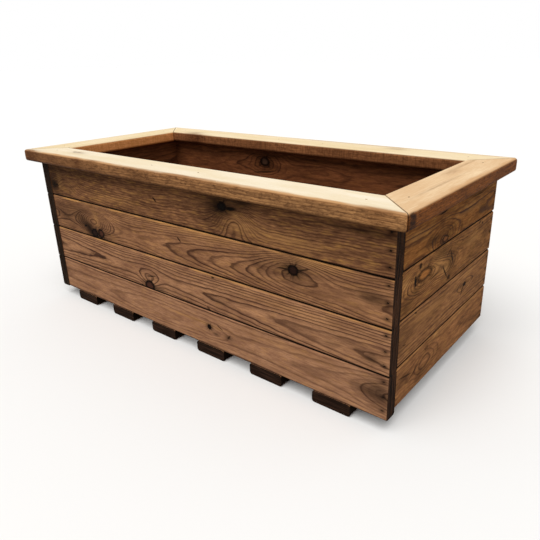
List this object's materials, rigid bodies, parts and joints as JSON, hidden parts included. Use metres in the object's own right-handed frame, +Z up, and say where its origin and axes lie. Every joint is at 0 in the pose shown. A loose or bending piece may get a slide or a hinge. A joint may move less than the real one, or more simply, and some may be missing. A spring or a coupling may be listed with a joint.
{
  "type": "window box planter",
  "caption": "Long open-topped timber trough planter with stacked-board walls lapped at the corners, a flat mitred rim, and cross slats underneath as floor and feet.",
  "frame": {"origin": "on the ground under the middle of the planter, at the level of the slats' lower faces", "axes": "+X along the long side to the right, +Y from the front wall to the back wall, +Z up"},
  "size_m": [0.9, 0.432, 0.3385],
  "materials": {
    "wall_wood": "brown stained softwood with dark grain and knots, matt",
    "rim_wood": "pale planed softwood with brown stained edges, satin",
    "slat_wood": "very dark stained softwood, matt",
    "nail_steel": "dull dark steel finish nails"
  },
  "bodies": {
    "root": {"front_board_bottom": "wall_wood", "front_board_lower": "wall_wood", "front_board_upper": "wall_wood", "front_board_top": "wall_wood", "right_board_bottom": "wall_wood", "right_board_lower": "wall_wood", "right_board_upper": "wall_wood", "right_board_top": "wall_wood", "back_board_bottom": "wall_wood", "back_board_lower": "wall_wood", "back_board_upper": "wall_wood", "back_board_top": "wall_wood", "left_board_bottom": "wall_wood", "left_board_lower": "wall_wood", "left_board_upper": "wall_wood", "left_board_top": "wall_wood", "rim_front": "rim_wood", "rim_right": "rim_wood", "rim_back": "rim_wood", "rim_left": "rim_wood", "base_slat_1": "slat_wood", "base_slat_2": "slat_wood", "base_slat_3": "slat_wood", "base_slat_4": "slat_wood", "base_slat_5": "slat_wood", "base_slat_6": "slat_wood", "corner_nails_front_right": "nail_steel", "corner_nails_right_back": "nail_steel", "corner_nails_back_left": "nail_steel", "corner_nails_left_front": "nail_steel", "rim_nails": "nail_steel", "slat_nails": "nail_steel"}
  },
  "joints": []
}
